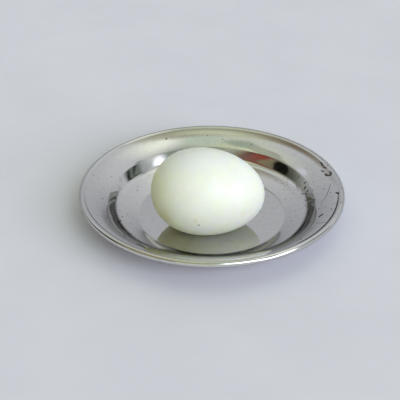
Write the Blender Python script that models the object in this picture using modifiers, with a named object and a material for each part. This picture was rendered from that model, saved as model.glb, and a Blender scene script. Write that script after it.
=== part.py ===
"""A peeled boiled egg lying on its side on a small round plate of pressed steel.

Metres, +Z up, the origin at the middle of the plate's underside. Seen from the front (-Y),
the egg's small end points right (+X).
"""

import math

import bmesh
import bpy
from mathutils import Matrix, Vector

# Plate: one sheet of even thickness. The sizes are those of the sheet's middle line, which
# runs out from the centre over a flat floor, a domed apron, a steep wall and a domed rim, with
# bends between them. A domed stretch has its slope where it starts and where it
# ends. Angles are in degrees.
PLATE_RADIUS = 0.070
SHEET = 0.0006
FLOOR_RADIUS = 0.0384
FLOOR_BEND_RADIUS = 0.0038
APRON_SLOPES = (22.2, 15.2)
APRON_LENGTH = 0.0091
WALL_BEND_RADIUS = 0.0061
WALL_SLOPES = (53.9, 49.1)
WALL_LENGTH = 0.0047
SHOULDER_RADIUS = 0.0039
RIM_SLOPES = (39.2, 10.3)
GROOVE_RADIUS = 0.0008
GROOVE_RISE = 35.0
BEAD_RADIUS = 0.00145
BEAD_CURL = 185.0
PLATE_STEPS = 64

# Egg: an ovoid turned about its long axis, whose thickest place is EGG_SHIFT off the middle.
EGG_LENGTH = 0.05915
EGG_WIDTH = 0.04555
EGG_SHIFT = 0.00265
EGG_CENTRE = Vector((-0.0023, -0.0108, 0.0210))
EGG_NOSE_DOWN = 7.4
EGG_TURN = 3.9
EGG_BED = SHEET + 0.0002  # the level that the soft underside is flattened to
EGG_SOFTNESS = 0.001
EGG_SEGMENTS = 48
EGG_RINGS = 30


def clear_scene():
    for obj in list(bpy.data.objects):
        bpy.data.objects.remove(obj, do_unlink=True)


def make_collection(name):
    collection = bpy.data.collections.new(name)
    bpy.context.scene.collection.children.link(collection)
    return collection


def make_material(name, colour, roughness, metallic):
    material = bpy.data.materials.new(name)
    material.use_nodes = True
    shader = material.node_tree.nodes["Principled BSDF"]
    shader.inputs["Base Color"].default_value = (*colour, 1.0)
    shader.inputs["Roughness"].default_value = roughness
    shader.inputs["Metallic"].default_value = metallic
    return material


def add_bend(line, slope_from, slope_to, radius, steps):
    """An arc that starts along slope_from and ends along slope_to; a rising slope bends up."""
    r, z = line[-1]
    side = math.copysign(radius, slope_to - slope_from)
    start = math.radians(slope_from)
    centre_r = r - side * math.sin(start)
    centre_z = z + side * math.cos(start)
    for step in range(1, steps + 1):
        angle = math.radians(slope_from + (slope_to - slope_from) * step / steps)
        line.append((centre_r + side * math.sin(angle), centre_z - side * math.cos(angle)))


def add_dome(line, slopes, length, steps):
    """A slightly domed stretch of a given length, as one wide arc."""
    slope_from, slope_to = slopes
    radius = length / math.radians(abs(slope_to - slope_from))
    add_bend(line, slope_from, slope_to, radius, steps)


def sheet_line(rim_length):
    """The middle line of the sheet as (radius, height), from the centre to the curl's end."""
    line = [(0.0, SHEET / 2), (FLOOR_RADIUS, SHEET / 2)]
    add_bend(line, 0.0, APRON_SLOPES[0], FLOOR_BEND_RADIUS, 1)
    add_dome(line, APRON_SLOPES, APRON_LENGTH, 2)
    add_bend(line, APRON_SLOPES[1], WALL_SLOPES[0], WALL_BEND_RADIUS, 5)
    add_dome(line, WALL_SLOPES, WALL_LENGTH, 1)
    add_bend(line, WALL_SLOPES[1], RIM_SLOPES[0], SHOULDER_RADIUS, 2)
    add_dome(line, RIM_SLOPES, rim_length, 4)
    groove_end = RIM_SLOPES[1] + GROOVE_RISE
    add_bend(line, RIM_SLOPES[1], groove_end, GROOVE_RADIUS, 3)
    add_bend(line, groove_end, -BEAD_CURL, BEAD_RADIUS, 14)
    return line


def reach(line):
    return max(r for r, _ in line) + SHEET / 2


def fitted_sheet_line():
    """The same line, its rim as long as the plate's full radius leaves room for."""
    shortest = reach(sheet_line(0.0))
    grown = reach(sheet_line(PLATE_RADIUS)) - shortest
    return sheet_line(PLATE_RADIUS * (PLATE_RADIUS - shortest) / grown)


def make_plate(collection, material):
    points = [Vector((r, 0.0, z)) for r, z in reversed(fitted_sheet_line())]
    mesh = bpy.data.meshes.new("plate")
    mesh.from_pydata(points, [(i, i + 1) for i in range(len(points) - 1)], [])
    mesh.materials.append(material)
    plate = bpy.data.objects.new("plate", mesh)
    collection.objects.link(plate)

    screw = plate.modifiers.new("turn", "SCREW")
    screw.axis = "Z"
    screw.steps = PLATE_STEPS
    screw.render_steps = PLATE_STEPS
    screw.use_merge_vertices = True
    screw.merge_threshold = 0.00001
    screw.use_smooth_shade = True

    solidify = plate.modifiers.new("sheet", "SOLIDIFY")
    solidify.thickness = SHEET
    solidify.offset = 0.0
    solidify.use_even_offset = True
    return plate


def ovoid_radius(along):
    """The egg's radius at a distance along its axis from the middle, + towards the small end."""
    square = EGG_LENGTH**2
    top = max(square - 4.0 * along**2, 0.0)
    bottom = square + 8.0 * EGG_SHIFT * along + 4.0 * EGG_SHIFT**2
    return EGG_WIDTH / 2 * math.sqrt(top / bottom)


def flattened(height):
    """The height of a point of the skin once the egg lies on its bed, eased in softly."""
    above = height - EGG_BED
    return EGG_BED + (above + math.sqrt(above**2 + EGG_SOFTNESS**2)) / 2


def make_egg(collection, material):
    """A ball whose poles become the egg's two ends, shaped, laid down and flattened below."""
    turn = Matrix.Rotation(math.radians(EGG_TURN), 3, "Z")
    nose_down = Matrix.Rotation(math.radians(EGG_NOSE_DOWN), 3, "Y")
    ball = bmesh.new()
    bmesh.ops.create_uvsphere(
        ball, u_segments=EGG_SEGMENTS, v_segments=EGG_RINGS, radius=1.0
    )
    for vertex in ball.verts:
        along = vertex.co.z * EGG_LENGTH / 2
        around = Vector((vertex.co.x, vertex.co.y, 0.0))
        if around.length > 0.0:
            around.normalize()
        radius = ovoid_radius(along)
        shaped = Vector((along, around.y * radius, -around.x * radius))
        laid = turn @ (nose_down @ shaped)
        laid.z = flattened(laid.z + EGG_CENTRE.z) - EGG_CENTRE.z
        vertex.co = laid
    mesh = bpy.data.meshes.new("egg")
    ball.to_mesh(mesh)
    ball.free()
    mesh.shade_smooth()
    mesh.materials.append(material)
    egg = bpy.data.objects.new("egg", mesh)
    egg.location = EGG_CENTRE
    collection.objects.link(egg)
    return egg


def main():
    clear_scene()
    collection = make_collection("boiled_egg_on_plate")
    steel = make_material("polished_steel", (0.62, 0.61, 0.60), 0.10, 1.0)
    egg_white = make_material("egg_white", (0.80, 0.86, 0.74), 0.38, 0.0)
    make_plate(collection, steel)
    make_egg(collection, egg_white)


main()
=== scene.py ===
"""Looks of a peeled boiled egg on its small polished steel plate.

The two solids of the model are replaced by fine meshes of the same form. Sizes below are in
millimetres and angles in degrees; meshes are scaled to metres when they are made. An azimuth
runs clockwise from +Y, seen from above.
"""

import math
import random

import bmesh
import bpy
from mathutils import Matrix, Vector, noise


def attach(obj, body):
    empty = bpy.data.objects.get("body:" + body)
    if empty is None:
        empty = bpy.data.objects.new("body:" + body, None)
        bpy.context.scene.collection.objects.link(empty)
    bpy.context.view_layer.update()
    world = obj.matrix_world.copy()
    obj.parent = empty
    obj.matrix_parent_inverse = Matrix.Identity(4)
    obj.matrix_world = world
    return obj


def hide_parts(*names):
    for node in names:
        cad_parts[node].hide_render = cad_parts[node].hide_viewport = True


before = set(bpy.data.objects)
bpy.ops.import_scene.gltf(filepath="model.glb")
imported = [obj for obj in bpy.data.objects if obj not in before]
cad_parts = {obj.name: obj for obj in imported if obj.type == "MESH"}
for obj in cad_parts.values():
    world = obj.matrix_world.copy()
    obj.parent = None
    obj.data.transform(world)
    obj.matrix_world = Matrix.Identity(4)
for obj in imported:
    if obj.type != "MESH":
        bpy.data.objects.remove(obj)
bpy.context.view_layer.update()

MM = 0.001
Z_AXIS = Vector((0.0, 0.0, 1.0))

# Plate: the sizes of the sheet's middle line, from the centre outwards. A domed stretch has
# its slope where it starts and where it ends.
PLATE_RADIUS = 70.0
SHEET = 0.6
FLOOR_RADIUS = 38.4
FLOOR_BEND_RADIUS = 3.8
APRON_SLOPES = (22.2, 15.2)
APRON_LENGTH = 9.1
WALL_BEND_RADIUS = 6.1
WALL_SLOPES = (53.9, 49.1)
WALL_LENGTH = 4.7
SHOULDER_RADIUS = 3.9
RIM_SLOPES = (39.2, 10.3)
GROOVE_RADIUS = 0.8
GROOVE_RISE = 35.0
BEAD_RADIUS = 1.45
BEAD_CURL = 185.0
PLATE_STEPS = 360
MERGE_DISTANCE = 0.001

# Egg: an ovoid turned about its long axis
EGG_LENGTH = 59.4
EGG_WIDTH = 45.75
EGG_SHIFT = 2.65
EGG_CENTRE = Vector((-2.05, -11.35, 20.75))
EGG_NOSE_DOWN = 7.4
EGG_TURN = 3.9
EGG_BED = SHEET
EGG_SOFTNESS = 1.0
EGG_SEGMENTS = 192
EGG_RINGS = 128

# Water: how finely drops and trails are made, and how uneven their edges are
STEEPEST_FALL = -80.0
SINK = 0.03
DROP_SEGMENTS = 18
DROP_RINGS = 4
DROP_WAVES = 1.3
DROP_VARIETY = 0.37
CALM = 0.12
RAGGED = 0.3
TRAIL_STEPS = 6
TRAIL_SEGMENTS = 6
TRAIL_TAPER = 4
TRAIL_BLUNTNESS = 0.04
TRAIL_WAVES = 7.0
TRAIL_VARIETY = 0.61
TRAIL_PHASE = 0.2
TRAIL_UNEVENNESS = 0.35

# The places of single marks, here and in the lists of dried drops and of the egg's spots, were
# picked in the photograph and then traced through its camera onto the plate or the egg.

# Dark trails: places as radius and azimuth, then width and height
TRAILS = [
    ([(65.6, 64.2), (66.2, 65.0), (66.0, 66.2), (65.6, 67.3), (65.8, 68.5)], 1.1, 0.45),
    ([(65.2, 68.6), (65.7, 69.4), (66.1, 70.6)], 1.0, 0.4),
    ([(63.2, 70.4), (63.5, 71.9), (64.2, 72.6)], 0.8, 0.35),
    ([(63.7, 73.9), (63.9, 75.7), (64.9, 76.7), (65.9, 76.4), (66.6, 75.0), (66.3, 73.6)],
     1.5, 0.55),
    ([(65.3, 92.2), (66.0, 93.0), (66.6, 93.8), (66.9, 92.4)], 1.0, 0.4),
    ([(59.5, 113.3), (60.4, 112.0), (61.3, 110.8)], 0.9, 0.35),
    ([(60.4, 227.6), (61.0, 225.8), (61.7, 223.9)], 0.5, 0.2),
    ([(62.9, 216.9), (62.6, 214.5), (63.7, 211.5)], 0.7, 0.25),
    ([(63.2, 215.4), (63.3, 213.6), (64.2, 211.4)], 0.4, 0.2),
    ([(63.9, 83.6), (62.7, 86.8), (61.6, 90.0), (60.9, 92.2), (60.1, 94.6), (59.1, 95.9),
      (58.3, 99.0), (58.1, 102.6)], 0.38, 0.12),
    ([(61.2, 120.7), (63.6, 119.6), (65.9, 119.2)], 0.32, 0.1),
    ([(57.4, 246.5), (58.6, 243.8), (59.0, 240.2)], 0.3, 0.1),
    ([(66.6, azimuth) for azimuth in (94, 103, 112, 121, 130, 142)], 0.8, 0.1),
]

# Dark drops: radius, azimuth and width
DARK_DROPS = [
    (57.3, 103.3, 0.7), (64.5, 106.9, 0.8), (68.5, 101.5, 0.7), (64.1, 136.7, 0.8),
    (62.6, 91.6, 0.6), (52.4, 74.0, 0.9), (52.9, 78.2, 1.0), (59.3, 245.9, 0.7),
    (49.7, 254.2, 0.9), (50.4, 249.0, 0.9), (47.8, 259.8, 0.7), (57.7, 265.8, 0.7),
]
DARK_DROP_STRETCH = 1.3
DARK_DROP_RISE = 0.3

# Clear drops: radius, azimuth, length, width, height, spin and seed
CLEAR_DROPS = [
    (64.9, 74.5, 1.7, 1.3, 0.35, 20, 1),
    (68.6, 89.8, 1.3, 1.1, 0.35, 0, 2),
    (68.2, 86.2, 0.9, 0.8, 0.25, 0, 3),
    (53.9, 11.8, 1.0, 0.9, 0.25, 0, 5),
]

# Fine drops strewn at random: how many, between which radii and azimuths, and how wide
SPRINKLE_SEED = 7
SPRINKLE_STRETCH = (1.0, 1.6)
SPRINKLE_RISE = 0.28
DARK_SHARE = 0.75
SPRINKLES = [
    (60, (50.0, 55.0), (62, 92), (0.4, 1.1)),
    (26, (41.0, 49.0), (62, 105), (0.25, 0.7)),
    (60, (46.0, 52.5), (48, 92), (0.15, 0.5)),
    (80, (56.5, 66.5), (76, 128), (0.15, 0.45)),
    (34, (56.5, 66.0), (60, 140), (0.2, 0.6)),
    (16, (67.6, 69.2), (62, 125), (0.3, 0.8)),
    (22, (57.0, 66.0), (215, 290), (0.2, 0.6)),
    (16, (44.0, 50.0), (235, 300), (0.25, 0.7)),
    (16, (58.0, 66.0), (335, 390), (0.3, 0.8)),
    (14, (56.0, 65.0), (150, 210), (0.2, 0.5)),
]

# Noise runs from 0 to 1, and a RANGE is the part of it over which a look changes
NOISE_RANGE = (0.3, 0.7)

# Water's finish
# The dark lot's tint: painted reflection of the dark surroundings that clear water on steel
# mirrors
TRAIL_PAINTED_DARKNESS = (0.12, 0.12, 0.11)
WATER_TINT = (0.92, 0.94, 0.93)
WATER_SHADE = 0.82
WATER_FILM_SIZE = 0.6
WATER_ROUGHNESS = 0.05
WATER_IOR = 1.33
RIPPLE_SIZE = 0.5
RIPPLE_DEPTH = 0.01

# Steel's finish: cloudy gloss, stains, a fine grain, scratches three ways and dried drops
STEEL_COLOUR = (0.70, 0.69, 0.675)
STEEL_EDGE_TINT = (0.5, 0.5, 0.5, 1.0)
STEEL_ROUGHNESS = (0.03, 0.055)
GLOSS_SIZE = 24.0
GLOSS_RANGE = (0.4, 0.7)
STAIN_COLOUR = (0.655, 0.65, 0.64)
STAIN_SIZE = 3.2
STAIN_RANGE = (0.52, 0.72)
STAIN_ROUGHNESS = 0.03
SPECK_COLOUR = (0.62, 0.615, 0.605)
SPECK_RANGE = (0.35, 0.75)
SPECK_STRENGTH = 0.5
GRAIN_SIZE = 0.9
GRAIN_DEPTH = 0.0012
WAVE_SIZE = 9.0
WAVE_DEPTH = 0.016
SCRATCHES = ((28.0, 0.66), (-51.0, 0.67), (77.0, 0.68))  # direction and how rare
SCRATCH_WIDTH = 0.16
SCRATCH_STRETCH = 90.0
SCRATCH_SOFTNESS = 0.04
SCRATCH_DEPTH = 0.0006
SCRATCH_ROUGHNESS = 0.1
DRIED_ROUGHNESS = 0.25
DRIED_DROPS = [  # radius, azimuth and size
    (28.4, 165.6, 1.0),
    (52.2, 287.0, 1.7),
    (53.6, 292.5, 1.3),
    (50.2, 283.0, 0.9),
    (56.0, 297.0, 0.9),
    (59.0, 284.0, 1.1),
    (63.5, 279.0, 1.0),
    (55.5, 232.0, 1.3),
]

# Egg's finish: a cloudy white, softly lit through, with blemishes, painted shade at the left end
# and underneath, and painted light on top
EGG_COLOUR = (0.90, 0.93, 0.82)
EGG_CLOUD_COLOUR = (0.88, 0.91, 0.785)
EGG_CLOUD_SIZE = 9.0
EGG_CLOUD_RANGE = (0.35, 0.7)
EGG_ROUGHNESS = (0.34, 0.46)
EGG_SHEEN_SIZE = 2.4
EGG_GLOW_RATIOS = (1.0, 0.9, 0.35)
EGG_GLOW = 4.5
EGG_RELIEF = ((5.5, 0.05), (0.55, 0.006))  # size and depth
SPOT_SOFTNESS = 0.6
EGG_SPOTS_AND_PAINTED_SHADING = [  # where, how wide, which colour and how strong
    ((-6.8, -33.4, 14.4), 0.42, (0.05, 0.05, 0.035), 0.9),
    ((-8.5, -34.0, 17.4), 1.1, (0.72, 0.66, 0.38), 0.35),
    ((-6.7, -33.4, 19.5), 0.9, (0.76, 0.70, 0.45), 0.25),
    ((15.6, -28.2, 18.0), 1.8, (0.85, 0.74, 0.52), 0.3),
    ((-23.9, -26.7, 14.5), 4.0, (0.72, 0.60, 0.30), 0.35),
    # Painted shade: yellow-olive over the shaded left end
    ((-32.9, -12.6, 18.9), 17.0, (0.76, 0.73, 0.42), 0.7),
    # Painted shade: yellow-olive under the lower left
    ((-16.0, -18.0, 3.0), 13.0, (0.82, 0.79, 0.50), 0.6),
    # Painted light: paler and bluer on top
    ((-8.0, -11.0, 43.0), 13.0, (0.91, 0.96, 0.93), 0.5),
    ((-22.8, -20.3, 37.1), 0.7, (0.97, 0.97, 0.90), 0.8),
    ((-19.3, -22.1, 38.3), 0.6, (0.97, 0.97, 0.90), 0.6),
    ((-18.1, -30.5, 29.5), 0.8, (0.95, 0.97, 0.90), 0.4),
]

# Floor and backdrop
FLOOR_HALF = 1500.0
FLOOR_COLOURS = ((0.77, 0.76, 0.83), (0.80, 0.79, 0.86))
FLOOR_CLOUD_SIZE = 60.0
FLOOR_ROUGHNESS = 0.9
BACKDROP_COLOUR = (0.60, 0.62, 0.66)

# Camera
CAMERA_DISTANCE = 700.0
CAMERA_DOWN = 31.85
CAMERA_ROLL = 0.125
CAMERA_AIM = Vector((-6.18, 14.01, 0.0))
CAMERA_NEAREST = 10.0
FOCAL_PIXELS = 1286.2
IMAGE_PIXELS = 400
SENSOR = 36.0

SPAN_SOCKETS = ("From Min", "From Max", "To Min", "To Max")


# Shapes -------------------------------------------------------------------------------------


def add_bend(line, slope_from, slope_to, radius, steps):
    """An arc that starts along slope_from and ends along slope_to; a rising slope bends up."""
    r, z = line[-1]
    side = math.copysign(radius, slope_to - slope_from)
    start = math.radians(slope_from)
    centre_r = r - side * math.sin(start)
    centre_z = z + side * math.cos(start)
    for step in range(1, steps + 1):
        angle = math.radians(slope_from + (slope_to - slope_from) * step / steps)
        line.append((centre_r + side * math.sin(angle), centre_z - side * math.cos(angle)))


def add_dome(line, slopes, length, steps):
    """A slightly domed stretch of a given length, as one wide arc."""
    slope_from, slope_to = slopes
    radius = length / math.radians(abs(slope_to - slope_from))
    add_bend(line, slope_from, slope_to, radius, steps)


def sheet_line(rim_length):
    """The middle line of the sheet as (radius, height), from the centre to the curl's end."""
    line = [(0.0, SHEET / 2), (FLOOR_RADIUS, SHEET / 2)]
    add_bend(line, 0.0, APRON_SLOPES[0], FLOOR_BEND_RADIUS, steps=6)
    add_dome(line, APRON_SLOPES, APRON_LENGTH, steps=8)
    add_bend(line, APRON_SLOPES[1], WALL_SLOPES[0], WALL_BEND_RADIUS, steps=18)
    add_dome(line, WALL_SLOPES, WALL_LENGTH, steps=4)
    add_bend(line, WALL_SLOPES[1], RIM_SLOPES[0], SHOULDER_RADIUS, steps=8)
    add_dome(line, RIM_SLOPES, rim_length, steps=18)
    groove_end = RIM_SLOPES[1] + GROOVE_RISE
    add_bend(line, RIM_SLOPES[1], groove_end, GROOVE_RADIUS, steps=8)
    add_bend(line, groove_end, -BEAD_CURL, BEAD_RADIUS, steps=36)
    return line


def reach(line):
    return max(r for r, _ in line) + SHEET / 2


def fitted_sheet_line():
    """The same line, its rim as long as the plate's full radius leaves room for."""
    shortest = reach(sheet_line(0.0))
    grown = reach(sheet_line(PLATE_RADIUS)) - shortest
    return sheet_line(PLATE_RADIUS * (PLATE_RADIUS - shortest) / grown)


def link(obj):
    bpy.context.scene.collection.objects.link(obj)
    return obj


def make_plate():
    """The sheet's line turned once round and given its thickness."""
    points = [Vector((r, 0.0, z)) * MM for r, z in reversed(fitted_sheet_line())]
    mesh = bpy.data.meshes.new("pressed_plate")
    mesh.from_pydata(points, [(i, i + 1) for i in range(len(points) - 1)], [])
    plate = link(bpy.data.objects.new("pressed_plate", mesh))

    screw = plate.modifiers.new("turn", "SCREW")
    screw.axis = "Z"
    screw.steps = PLATE_STEPS
    screw.render_steps = PLATE_STEPS
    screw.use_merge_vertices = True
    screw.merge_threshold = MERGE_DISTANCE * MM
    screw.use_smooth_shade = True

    solidify = plate.modifiers.new("sheet", "SOLIDIFY")
    solidify.thickness = SHEET * MM
    solidify.offset = 0.0
    solidify.use_even_offset = True
    return plate


def ovoid_radius(along):
    """The egg's radius at a distance along its axis from the middle, + towards the small end."""
    square = EGG_LENGTH**2
    top = max(square - 4.0 * along**2, 0.0)
    bottom = square + 8.0 * EGG_SHIFT * along + 4.0 * EGG_SHIFT**2
    return EGG_WIDTH / 2 * math.sqrt(top / bottom)


def flattened(height):
    """The height of a point of the skin once the egg lies on its bed, eased in softly."""
    above = height - EGG_BED
    return EGG_BED + (above + math.sqrt(above**2 + EGG_SOFTNESS**2)) / 2


def make_egg():
    """A ball whose poles become the egg's two ends, shaped, laid down and flattened below."""
    turn = Matrix.Rotation(math.radians(EGG_TURN), 3, "Z")
    nose_down = Matrix.Rotation(math.radians(EGG_NOSE_DOWN), 3, "Y")
    ball = bmesh.new()
    bmesh.ops.create_uvsphere(
        ball, u_segments=EGG_SEGMENTS, v_segments=EGG_RINGS, radius=1.0
    )
    for vertex in ball.verts:
        along = vertex.co.z * EGG_LENGTH / 2
        around = Vector((vertex.co.x, vertex.co.y, 0.0))
        if around.length > 0.0:
            around.normalize()
        radius = ovoid_radius(along)
        shaped = Vector((along, around.y * radius, -around.x * radius))
        laid = turn @ (nose_down @ shaped) + EGG_CENTRE
        laid.z = flattened(laid.z)
        vertex.co = laid * MM
    mesh = bpy.data.meshes.new("peeled_egg")
    ball.to_mesh(mesh)
    ball.free()
    mesh.shade_smooth()
    return link(bpy.data.objects.new("peeled_egg", mesh))


# Water --------------------------------------------------------------------------------------


class Skin:
    """The upper face of the plate's sheet, on which places are a radius and an azimuth."""

    def __init__(self):
        line = fitted_sheet_line()
        steepest = math.radians(STEEPEST_FALL)
        self.knots = []
        for k in range(len(line) - 1):
            before, after = line[max(k - 1, 0)], line[k + 1]
            slope = math.atan2(after[1] - before[1], after[0] - before[0])
            if slope < steepest:
                break
            r = line[k][0] - math.sin(slope) * SHEET / 2
            self.knots.append((r, line[k][1] + math.cos(slope) * SHEET / 2, slope))

    def at(self, radius, azimuth, height=0.0):
        """The point at a height above the skin, and the direction outwards along the skin."""
        knots = self.knots
        for (r0, z0, s0), (r1, z1, s1) in zip(knots, knots[1:]):
            if radius <= r1:
                break
        share = (radius - r0) / (r1 - r0)
        slope = s0 + (s1 - s0) * share
        angle = math.radians(azimuth)
        away = Vector((math.sin(angle), math.cos(angle), 0.0))
        outward = away * math.cos(slope) + Z_AXIS * math.sin(slope)
        normal = Z_AXIS * math.cos(slope) - away * math.sin(slope)
        point = away * radius + Z_AXIS * (z0 + (z1 - z0) * share) + normal * height
        return point, outward

    def beside(self, place, outwards, sideways, height):
        """A point a few tenths of a millimetre away from a place, measured on the skin."""
        radius, azimuth = place
        rise = self.at(radius, azimuth)[1].z
        level = math.sqrt(max(1.0 - rise**2, 0.0))
        around = math.degrees(sideways / max(radius, 1.0))
        return self.at(radius + outwards * level, azimuth + around, height)[0]


class Water:
    """Drops and trails of water lying on the plate, gathered into one mesh."""

    def __init__(self, name, skin):
        self.name = name
        self.skin = skin
        self.points = []
        self.faces = []

    def ring(self, points):
        first = len(self.points)
        self.points.extend(points)
        return list(range(first, first + len(points)))

    def join(self, rings):
        for lower, upper in zip(rings, rings[1:]):
            for k in range(len(lower)):
                n = (k + 1) % len(lower)
                self.faces.append((lower[k], lower[n], upper[n], upper[k]))

    def cap(self, ring, point, down):
        self.points.append(point)
        tip = len(self.points) - 1
        for k in range(len(ring)):
            a, b = ring[k], ring[(k + 1) % len(ring)]
            self.faces.append((b, a, tip) if down else (a, b, tip))

    def drop(self, place, long, wide, high, spin, wobble, seed=0):
        """A domed drop. spin turns its long way from outwards towards a growing azimuth."""
        turn = math.radians(spin)
        rings = []
        for step in range(DROP_RINGS + 1):
            share = 1.0 - step / (DROP_RINGS + 1)
            height = -SINK if step == 0 else high * (1.0 - share**2)
            points = []
            for k in range(DROP_SEGMENTS):
                angle = math.tau * k / DROP_SEGMENTS
                around = Vector((math.cos(angle), math.sin(angle), DROP_VARIETY * seed))
                size = share * (1.0 + wobble * noise.noise(around * DROP_WAVES))
                u = math.cos(angle) * long / 2 * size
                v = math.sin(angle) * wide / 2 * size
                out = u * math.cos(turn) - v * math.sin(turn)
                side = u * math.sin(turn) + v * math.cos(turn)
                points.append(self.skin.beside(place, out, side, height))
            rings.append(self.ring(points))
        self.join(rings)
        self.cap(rings[-1], self.skin.at(*place, high)[0], down=False)
        self.cap(rings[0], self.skin.at(*place, -2 * SINK)[0], down=True)

    def trail(self, places, wide, high, seed):
        """A thin bead of water along places of the skin, tapering at both ends."""
        path = smooth_path(places)
        rings = []
        for k, place in enumerate(path):
            before, after = path[max(k - 1, 0)], path[min(k + 1, len(path) - 1)]
            out = after[0] - before[0]
            side = math.radians(after[1] - before[1]) * place[0]
            length = math.hypot(out, side)
            across = (-side / length, out / length)
            share = k / (len(path) - 1)
            size = math.sqrt(max(1.0 - (2.0 * share - 1.0) ** TRAIL_TAPER, TRAIL_BLUNTNESS))
            waves = Vector((share * TRAIL_WAVES, TRAIL_VARIETY * seed, TRAIL_PHASE))
            size *= 1.0 + TRAIL_UNEVENNESS * noise.noise(waves)
            points = []
            for step in range(TRAIL_SEGMENTS + 1):
                x = 1.0 - 2.0 * step / TRAIL_SEGMENTS
                reach_out = x * wide / 2 * size
                height = high * size * (1.0 - x * x) - SINK
                offset = (across[0] * reach_out, across[1] * reach_out)
                points.append(self.skin.beside(place, *offset, height))
            points.append(self.skin.beside(place, 0.0, 0.0, -2 * SINK))
            rings.append(self.ring(points))
        self.join(rings)
        self.cap(rings[0], self.skin.at(*path[0])[0], down=True)
        self.cap(rings[-1], self.skin.at(*path[-1])[0], down=False)

    def finish(self, material):
        mesh = bpy.data.meshes.new(self.name)
        mesh.from_pydata([point * MM for point in self.points], [], self.faces)
        shell = bmesh.new()
        shell.from_mesh(mesh)
        bmesh.ops.recalc_face_normals(shell, faces=shell.faces)
        shell.to_mesh(mesh)
        shell.free()
        mesh.shade_smooth()
        mesh.materials.append(material)
        return link(bpy.data.objects.new(self.name, mesh))


def catmull_rom(a, b, c, d, t):
    """A value between b and c on a smooth path through a, b, c and d."""
    curve = 2 * a - 5 * b + 4 * c - d
    bend = 3 * b - a - 3 * c + d
    return (2 * b + (c - a) * t + curve * t**2 + bend * t**3) / 2


def smooth_path(places):
    """Places in finer steps, on a smooth path through the ones given."""
    path = []
    for k in range(len(places) - 1):
        a, b = places[max(k - 1, 0)], places[k]
        c, d = places[k + 1], places[min(k + 2, len(places) - 1)]
        for step in range(TRAIL_STEPS):
            t = step / TRAIL_STEPS
            path.append(tuple(catmull_rom(*four, t) for four in zip(a, b, c, d)))
    path.append(places[-1])
    return path


def wet_marks(skin):
    """The trails and drops that lie on the plate, as a dark lot and a clear one."""
    rng = random.Random(SPRINKLE_SEED)
    dark = Water("water_trails", skin)
    for seed, (places, wide, high) in enumerate(TRAILS):
        dark.trail(places, wide, high, seed)
    for *place, size in DARK_DROPS:
        long, high = size * DARK_DROP_STRETCH, size * DARK_DROP_RISE
        dark.drop(place, long, size, high, rng.uniform(0, 180), RAGGED)

    clear = Water("water_drops", skin)
    for *place, long, wide, high, spin, seed in CLEAR_DROPS:
        clear.drop(place, long, wide, high, spin, CALM, seed)
    for count, radii, azimuths, (smallest, largest) in SPRINKLES:
        for seed in range(count):
            place = (rng.uniform(*radii), rng.uniform(*azimuths))
            size = smallest + (largest - smallest) * rng.random() ** 2
            lot = dark if rng.random() < DARK_SHARE else clear
            long = size * rng.uniform(*SPRINKLE_STRETCH)
            spin = rng.uniform(0, 180)
            lot.drop(place, long, size, size * SPRINKLE_RISE, spin, RAGGED, seed)
    return dark, clear


# Materials ----------------------------------------------------------------------------------


class Graph:
    """A shader's node tree, with short ways to add to it."""

    def __init__(self, tree):
        self.tree = tree

    def add(self, kind, **settings):
        node = self.tree.nodes.new(kind)
        for key, value in settings.items():
            setattr(node, key, value)
        return node

    def put(self, socket, value):
        if isinstance(value, bpy.types.NodeSocket):
            self.tree.links.new(value, socket)
        else:
            socket.default_value = value

    def maths(self, operation, a, b=0.0):
        node = self.add("ShaderNodeMath", operation=operation)
        self.put(node.inputs[0], a)
        self.put(node.inputs[1], b)
        return node.outputs[0]

    def raised(self, value, mask, amount):
        """A value with an amount added where a mask is 1."""
        return self.maths("ADD", value, self.maths("MULTIPLY", mask, amount))

    def span(self, value, low, high, at_low=0.0, at_high=1.0):
        """A value eased from at_low to at_high while it runs from low to high."""
        node = self.add("ShaderNodeMapRange", interpolation_type="SMOOTHSTEP")
        self.put(node.inputs["Value"], value)
        for name, number in zip(SPAN_SOCKETS, (low, high, at_low, at_high)):
            node.inputs[name].default_value = number
        return node.outputs[0]

    def mix(self, factor, a, b):
        node = self.add("ShaderNodeMix", data_type="RGBA")
        self.put(node.inputs["Factor"], factor)
        for name, colour in (("A", a), ("B", b)):
            linked = isinstance(colour, bpy.types.NodeSocket)
            self.put(node.inputs[name], colour if linked else (*colour, 1.0))
        return node.outputs["Result"]


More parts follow.
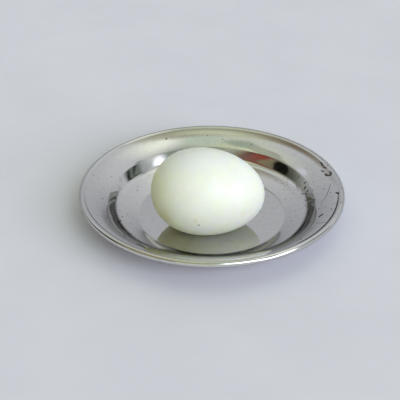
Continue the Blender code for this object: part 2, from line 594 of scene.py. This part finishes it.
class Surface(Graph):
    """A material whose patterns are laid out in the object's own space."""

    def __init__(self, name):
        self.material = bpy.data.materials.new(name)
        self.material.use_nodes = True
        super().__init__(self.material.node_tree)
        self.shader = self.tree.nodes["Principled BSDF"]
        self.place = self.add("ShaderNodeTexCoord").outputs["Object"]
        self.normal = None

    def set(self, name, value):
        self.put(self.shader.inputs[name], value)

    def noise(self, size, detail=2.0, turn=0.0, stretch=1.0):
        """Cloudy noise with features of a size in millimetres, drawn out along one way."""
        place = self.place
        if stretch != 1.0:
            mapping = self.add("ShaderNodeMapping")
            mapping.inputs["Rotation"].default_value = (0.0, 0.0, math.radians(turn))
            mapping.inputs["Scale"].default_value = (1.0 / stretch, 1.0, 1.0)
            self.put(mapping.inputs["Vector"], place)
            place = mapping.outputs[0]
        node = self.add("ShaderNodeTexNoise")
        node.inputs["Scale"].default_value = 1.0 / (size * MM)
        node.inputs["Detail"].default_value = detail
        self.put(node.inputs["Vector"], place)
        return node.outputs["Fac"]

    def bump(self, height, depth):
        """Relief of a depth in millimetres over a height that runs from 0 to 1."""
        node = self.add("ShaderNodeBump")
        node.inputs["Distance"].default_value = depth * MM
        self.put(node.inputs["Height"], height)
        if self.normal is not None:
            self.put(node.inputs["Normal"], self.normal)
        self.normal = node.outputs[0]
        self.put(self.shader.inputs["Normal"], self.normal)

    def near(self, point, radius):
        """1 within a radius of a point, both in millimetres, fading to 0 around it."""
        node = self.add("ShaderNodeVectorMath", operation="DISTANCE")
        self.put(node.inputs[0], self.place)
        node.inputs[1].default_value = Vector(point) * MM
        inner = radius * (1 - SPOT_SOFTNESS) * MM
        outer = radius * (1 + SPOT_SOFTNESS) * MM
        return self.span(node.outputs["Value"], inner, outer, 1.0, 0.0)


def steel_material(skin):
    """Bright pressed steel with stains, dried drops, a fine grain and wear scratches."""
    steel = Surface("polished_steel")
    clouds = steel.noise(GLOSS_SIZE, detail=3.0)
    stains = steel.span(steel.noise(STAIN_SIZE, detail=4.0), *STAIN_RANGE)
    grain = steel.noise(GRAIN_SIZE)
    stained = steel.mix(stains, STEEL_COLOUR, STAIN_COLOUR)
    specks = steel.span(grain, *SPECK_RANGE, 0.0, SPECK_STRENGTH)
    steel.set("Base Color", steel.mix(specks, stained, SPECK_COLOUR))
    steel.set("Metallic", 1.0)
    steel.set("Specular Tint", STEEL_EDGE_TINT)
    rough = steel.span(clouds, *GLOSS_RANGE, *STEEL_ROUGHNESS)
    rough = steel.raised(rough, stains, STAIN_ROUGHNESS)
    for turn, low in SCRATCHES:
        streaks = steel.noise(SCRATCH_WIDTH, 1.0, turn, SCRATCH_STRETCH)
        scratch = steel.span(streaks, low, low + SCRATCH_SOFTNESS)
        rough = steel.raised(rough, scratch, SCRATCH_ROUGHNESS)
        steel.bump(scratch, SCRATCH_DEPTH)
    for *place, size in DRIED_DROPS:
        spot = steel.near(skin.at(*place)[0], size)
        rough = steel.raised(rough, spot, DRIED_ROUGHNESS)
    steel.set("Roughness", rough)
    steel.bump(steel.noise(WAVE_SIZE, detail=1.0), WAVE_DEPTH)
    steel.bump(grain, GRAIN_DEPTH)
    return steel.material


def egg_material():
    """Moist cooked egg white: pale, softly lit through, with faint blemishes, painted
    yellow-olive shade at the left end and underneath, and painted light on top.
    """
    white = Surface("egg_white")
    cloud = white.span(white.noise(EGG_CLOUD_SIZE, detail=3.0), *EGG_CLOUD_RANGE)
    colour = white.mix(cloud, EGG_COLOUR, EGG_CLOUD_COLOUR)
    # Blemishes, painted shade and painted light, each laid over the colour in turn
    for point, radius, tint, strength in EGG_SPOTS_AND_PAINTED_SHADING:
        factor = white.maths("MULTIPLY", white.near(point, radius), strength)
        colour = white.mix(factor, colour, tint)
    white.set("Base Color", colour)
    sheen = white.noise(EGG_SHEEN_SIZE, detail=3.0)
    white.set("Roughness", white.span(sheen, *NOISE_RANGE, *EGG_ROUGHNESS))
    white.set("Subsurface Weight", 1.0)
    white.set("Subsurface Radius", EGG_GLOW_RATIOS)
    white.set("Subsurface Scale", EGG_GLOW * MM)
    for size, depth in EGG_RELIEF:
        white.bump(white.noise(size), depth)
    return white.material


def water_material(name, tint):
    """Water with a faint film on it, clear, or darkened by a tint that is painted reflection of
    dark surroundings.
    """
    water = Surface(name)
    film = water.span(water.noise(WATER_FILM_SIZE), *NOISE_RANGE)
    water.set("Base Color", water.mix(film, tint, [WATER_SHADE * part for part in tint]))
    water.set("Roughness", water.maths("MULTIPLY", film, WATER_ROUGHNESS))
    water.set("IOR", WATER_IOR)
    water.set("Transmission Weight", 1.0)
    water.bump(water.noise(RIPPLE_SIZE, detail=1.0), RIPPLE_DEPTH)
    return water.material


def floor_material():
    floor = Surface("pale_floor")
    cloud = floor.span(floor.noise(FLOOR_CLOUD_SIZE, detail=3.0), *NOISE_RANGE)
    floor.set("Base Color", floor.mix(cloud, *FLOOR_COLOURS))
    floor.set("Roughness", FLOOR_ROUGHNESS)
    return floor.material


# Floor, light and camera --------------------------------------------------------------------


def make_floor():
    mesh = bpy.data.meshes.new("floor")
    corners = [(-1, -1, 0), (1, -1, 0), (1, 1, 0), (-1, 1, 0)]
    points = [Vector(corner) * FLOOR_HALF * MM for corner in corners]
    mesh.from_pydata(points, [], [(0, 1, 2, 3)])
    floor = link(bpy.data.objects.new("floor", mesh))
    mesh.materials.append(floor_material())


def towards(azimuth, elevation):
    """Unit vector at an azimuth and an elevation."""
    a, e = math.radians(azimuth), math.radians(elevation)
    return Vector((math.cos(e) * math.sin(a), math.cos(e) * math.cos(a), math.sin(e)))


class Sky(Graph):
    """The studio's light as a world shader: a base colour with soft oval patches laid on it,
    and a plain backdrop where it is seen directly."""

    def __init__(self, base):
        world = bpy.data.worlds.new("studio")
        bpy.context.scene.world = world
        world.use_nodes = True
        super().__init__(world.node_tree)
        self.tree.nodes.clear()
        self.direction = self.add("ShaderNodeTexCoord").outputs["Generated"]
        rgb = self.add("ShaderNodeRGB")
        rgb.outputs[0].default_value = (*base, 1.0)
        self.colour = rgb.outputs[0]

    def along(self, vector):
        node = self.add("ShaderNodeVectorMath", operation="DOT_PRODUCT")
        self.put(node.inputs[0], self.direction)
        node.inputs[1].default_value = vector
        return node.outputs["Value"]

    def patch(self, azimuth, elevation, wide, tall, colour, soft=0.5, lean=0.0):
        """Lays an oval of colour over the sky. wide and tall are its half angles, soft the
        share of it that fades, and lean turns it clockwise as seen from inside."""
        middle = towards(azimuth, elevation)
        across = middle.cross(Z_AXIS).normalized()
        upward = across.cross(middle).normalized()
        spin = Matrix.Rotation(math.radians(lean), 3, middle)
        across, upward = spin @ across, spin @ upward
        x = self.maths("DIVIDE", self.along(across), math.sin(math.radians(wide)))
        y = self.maths("DIVIDE", self.along(upward), math.sin(math.radians(tall)))
        square = self.maths("ADD", self.maths("POWER", x, 2.0), self.maths("POWER", y, 2.0))
        fade = self.span(self.maths("SQRT", square), 1.0 - soft, 1.0 + soft, 1.0, 0.0)
        ahead = self.maths("GREATER_THAN", self.along(middle), 0.0)
        self.colour = self.mix(self.maths("MULTIPLY", fade, ahead), self.colour, colour)

    def finish(self):
        seen = self.add("ShaderNodeLightPath").outputs["Is Camera Ray"]
        background = self.add("ShaderNodeBackground")
        output = self.add("ShaderNodeOutputWorld")
        colour = self.mix(seen, self.colour, BACKDROP_COLOUR)
        self.put(background.inputs["Color"], colour)
        self.put(output.inputs["Surface"], background.outputs[0])


def make_sky():
    """What the steel mirrors, as soft areas; a later patch lies over the earlier ones.

    The base colour and the patches with odd decimals are the result of a least-squares fit,
    made outside this script, to the steel's colours in the photograph. The other patches were
    set one by one.
    """
    sky = Sky((0.487, 0.506, 0.543))
    # Broad areas: warm and low at the left, paler high up behind and in front
    sky.patch(258, 5, 36, 15, (0.62, 0.52, 0.20), soft=0.6)
    sky.patch(35.2, 55.3, 52.6, 25.6, (0.695, 0.718, 0.747), soft=0.98, lean=47.2)
    sky.patch(210.2, 46.5, 52.6, 43, (0.806, 0.868, 0.597), soft=0.4, lean=-9.6)
    sky.patch(47.1, 66.6, 23.2, 11, (1.126, 1.187, 1.041), soft=0.98, lean=-3.2)
    # Olive, red, tan and dark areas at the left
    sky.patch(273.6, 29.9, 11.4, 52.8, (0.489, 0.522, 0.41), soft=0.17, lean=-2.5)
    sky.patch(230, 41, 31, 10.5, (0.222, 0.044, 0.027), soft=0.7, lean=-12.5)
    sky.patch(287.2, 57.7, 3, 5.1, (0.442, 0.45, 0.384), soft=0.66, lean=-18)
    sky.patch(250, 33.5, 14, 4.5, (0.266, 0.23, 0.133), soft=0.5)
    sky.patch(243, 41.5, 12, 3, (0.301, 0.054, 0.035), soft=0.5)
    sky.patch(250, 47.5, 16, 1.5, (0.054, 0.011, 0.009), soft=0.6)
    sky.patch(281.7, 21.3, 13, 19.7, (0.093, 0.1, 0.077), soft=0.98, lean=-30.5)
    sky.patch(270.3, 29, 6.0, 9.8, (0.007, 0.007, 0.005), soft=0.2, lean=-57.2)
    # At the right: dull green with two dark stripes, a pale area and a small bright one
    sky.patch(77.5, 24, 8, 12, (0.186, 0.208, 0.195), soft=0.3, lean=46)
    sky.patch(71.5, 20.5, 1.9, 6, (0.007, 0.009, 0.009), soft=0.6, lean=20)
    sky.patch(80.5, 28.5, 1.7, 8, (0.013, 0.016, 0.014), soft=0.6, lean=20)
    sky.patch(102.1, 41.1, 6.5, 9.8, (1.015, 1.074, 1.045), soft=0.84, lean=-14.7)
    sky.patch(114.1, 29.5, 5.6, 9.9, (5.705, 5.715, 6.442), soft=0.95, lean=-0.4)
    # A dark horizon at the back left, then brown, green and pale areas higher up
    sky.patch(297.1, -8, 82.7, 16.2, (0.035, 0.046, 0.041), soft=0.98, lean=17)
    sky.patch(358.6, 58.1, 10.3, 21.2, (0.222, 0.177, 0.132), soft=0.34, lean=15.6)
    sky.patch(357.3, 65.3, 13.2, 9.1, (0.692, 0.747, 0.544), soft=0.98, lean=57.3)
    sky.patch(157.4, 51.4, 38.4, 18.8, (0.232, 0.29, 0.242), soft=0.98, lean=-3)
    sky.patch(75.9, 43.7, 3, 3, (0.146, 0.177, 0.134), soft=0.98, lean=-4.4)
    sky.patch(95, 86, 15, 9, (0.62, 0.735, 0.602), soft=0.5)
    sky.patch(268, 76, 10, 7, (0.425, 0.496, 0.39), soft=0.5)
    # Small areas behind the plate, which its walls mirror
    sky.patch(54, 33, 7, 6.5, (0.66, 0.68, 0.72), soft=0.6)
    sky.patch(343, 1, 12, 8, (0.52, 0.53, 0.57), soft=0.6)
    sky.patch(4, 5, 12, 7, (0.33, 0.34, 0.36), soft=0.5)
    sky.patch(307, 37, 6, 5, (0.72, 0.76, 0.84), soft=0.6)
    # The two main lights, at the front right
    sky.patch(127, 16, 15, 10, (6.6, 6.5, 8.2), soft=0.4)
    sky.patch(152, 34, 15, 14, (4.5, 5.0, 5.6), soft=0.4)
    sky.finish()


def make_camera():
    down, roll = math.radians(CAMERA_DOWN), math.radians(CAMERA_ROLL)
    forward = Vector((0.0, math.cos(down), -math.sin(down)))
    up = Vector((0.0, math.sin(down), math.cos(down)))
    right = Vector((1.0, 0.0, 0.0))
    tilted_right = right * math.cos(roll) + up * math.sin(roll)
    tilted_up = up * math.cos(roll) - right * math.sin(roll)
    camera = bpy.data.cameras.new("camera")
    camera.sensor_fit = "HORIZONTAL"
    camera.sensor_width = SENSOR
    camera.lens = SENSOR * FOCAL_PIXELS / IMAGE_PIXELS
    camera.clip_start = CAMERA_NEAREST * MM
    obj = link(bpy.data.objects.new("camera", camera))
    matrix = Matrix((tilted_right, tilted_up, -forward)).transposed().to_4x4()
    matrix.translation = (CAMERA_AIM - forward * CAMERA_DISTANCE) * MM
    obj.matrix_world = matrix
    bpy.context.scene.camera = obj


def main():
    bpy.context.scene.view_settings.view_transform = "Standard"
    make_camera()
    make_sky()
    make_floor()

    skin = Skin()
    plate = make_plate()
    plate.data.materials.append(steel_material(skin))
    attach(plate, "root")
    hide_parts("plate")

    egg = make_egg()
    egg.data.materials.append(egg_material())
    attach(egg, "root")
    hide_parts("egg")

    # The dark lot's tint is painted reflection
    for lot, tint in zip(wet_marks(skin), (TRAIL_PAINTED_DARKNESS, WATER_TINT)):
        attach(lot.finish(water_material(lot.name, tint)), "root")


main()
